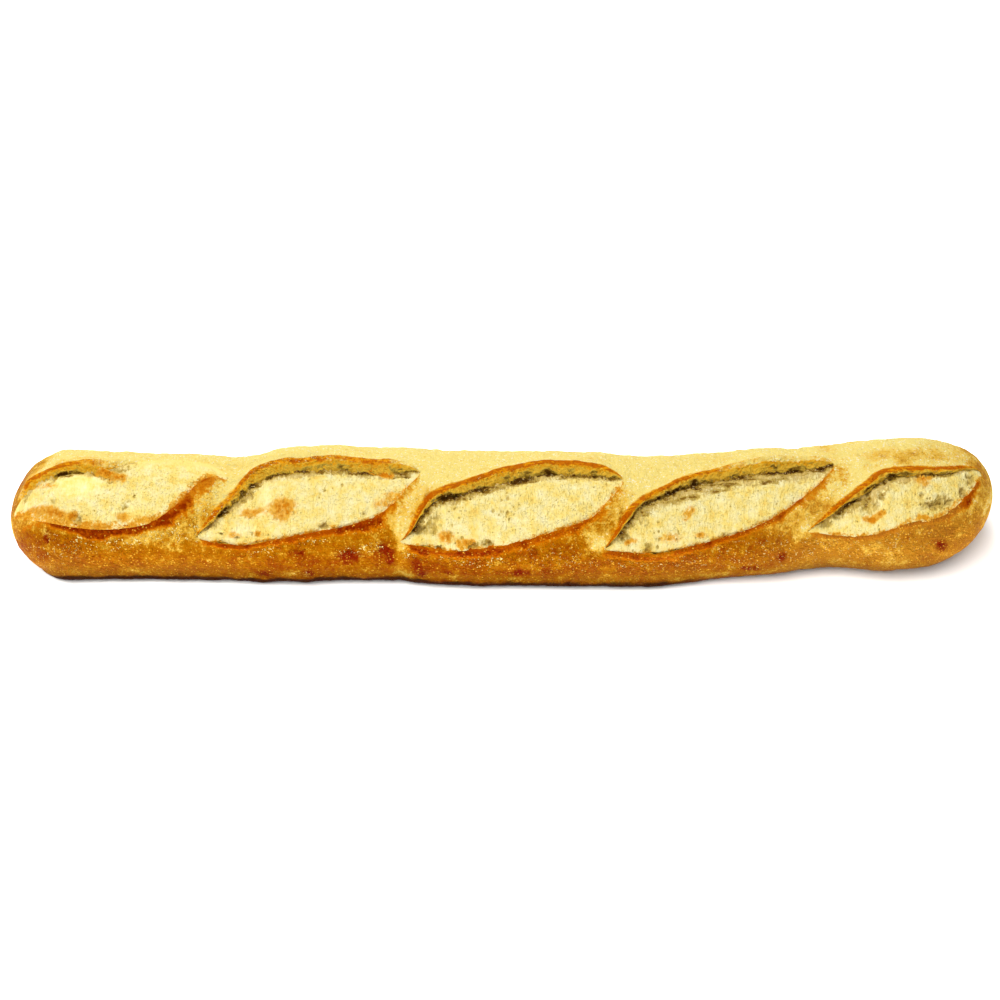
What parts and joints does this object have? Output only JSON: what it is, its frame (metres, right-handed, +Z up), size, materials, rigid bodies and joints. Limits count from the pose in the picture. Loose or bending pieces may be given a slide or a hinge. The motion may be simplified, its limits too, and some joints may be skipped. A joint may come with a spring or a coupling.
{
  "type": "baguette",
  "caption": "Long slender bread loaf with rounded ends and diagonal slashes whose crust stands up in an ear over the torn crumb.",
  "frame": {"origin": "middle of the loaf's bounding box, at the level of the surface it rests on", "axes": "+X along the loaf, towards the end that curls up a little; +Y away from the side the slashes are cut towards; +Z up"},
  "size_m": [0.5, 0.0752, 0.0578],
  "materials": {
    "crust": "golden brown baked crust, satin",
    "crumb": "pale torn bread crumb, matte"
  },
  "bodies": {
    "root": {"loaf": "crust"}
  },
  "joints": []
}
